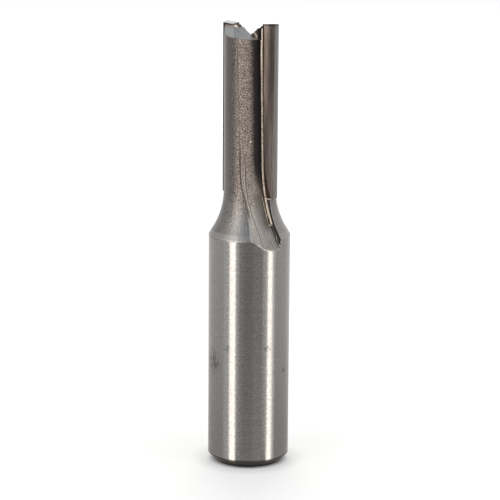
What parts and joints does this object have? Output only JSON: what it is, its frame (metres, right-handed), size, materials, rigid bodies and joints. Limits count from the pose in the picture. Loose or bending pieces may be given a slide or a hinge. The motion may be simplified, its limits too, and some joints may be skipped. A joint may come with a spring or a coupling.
{
  "type": "straight router bit",
  "caption": "Straight router bit with a plain round shank, a concave neck and a slim fluted body that carries brazed carbide cutting tips.",
  "frame": {"origin": "centre of the shank's flat end face, where the bit stands", "axes": "+Z along the axis to the cutting end; the right tip's cutting edge at +X, its rake face towards -Y"},
  "size_m": [0.0126, 0.0126, 0.0691],
  "materials": {
    "steel": "satin, turned",
    "carbide": "fine ground",
    "braze": "satin"
  },
  "bodies": {
    "root": {"steel_body": "steel", "right_carbide_tip": "carbide", "left_carbide_tip": "carbide", "right_braze_joint": "braze", "left_braze_joint": "braze"}
  },
  "joints": []
}
